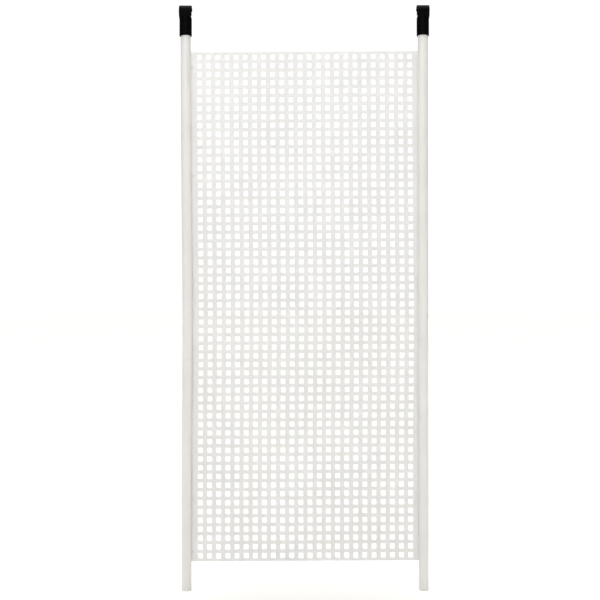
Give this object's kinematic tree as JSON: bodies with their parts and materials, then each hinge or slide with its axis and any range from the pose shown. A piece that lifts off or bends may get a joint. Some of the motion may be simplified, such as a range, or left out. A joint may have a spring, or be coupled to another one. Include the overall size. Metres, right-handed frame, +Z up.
{
  "type": "hanging pegboard tool panel",
  "caption": "Tall white perforated sheet folded round two upright tubes, with black clip-on hooks on top that hang it from a horizontal rail.",
  "frame": {"origin": "on the axis of the horizontal rail that the two hooks hang on, midway between the hooks", "axes": "+X across the panel, to the right as seen from the front; +Y from the front to the back; +Z up"},
  "size_m": [0.4082, 0.0236, 0.9564],
  "materials": {
    "sheet_plastic": "satin",
    "pole_enamel": "satin",
    "hook_plastic": "satin",
    "plug_plastic": "matte",
    "rivet_metal": "satin"
  },
  "bodies": {
    "board": {"perforated_sheet": "sheet_plastic", "pole_left": "pole_enamel", "pole_right": "pole_enamel", "end_plug_left": "plug_plastic", "end_plug_right": "plug_plastic", "rivet_left_1": "rivet_metal", "rivet_left_2": "rivet_metal", "rivet_left_3": "rivet_metal", "rivet_left_4": "rivet_metal", "rivet_left_5": "rivet_metal", "rivet_left_6": "rivet_metal", "rivet_right_1": "rivet_metal", "rivet_right_2": "rivet_metal", "rivet_right_3": "rivet_metal", "rivet_right_4": "rivet_metal", "rivet_right_5": "rivet_metal", "rivet_right_6": "rivet_metal"},
    "left_hook": {"hook_left": "hook_plastic"},
    "right_hook": {"hook_right": "hook_plastic"}
  },
  "joints": [
    {"name": "left_hook_swivel", "type": "hinge", "parent": "board", "child": "left_hook", "pos_m": [-0.194, 0, -0.0382], "axis": [0, 0, 1], "continuous": true},
    {"name": "right_hook_swivel", "type": "hinge", "parent": "board", "child": "right_hook", "pos_m": [0.194, 0, -0.0382], "axis": [0, 0, 1], "continuous": true}
  ]
}
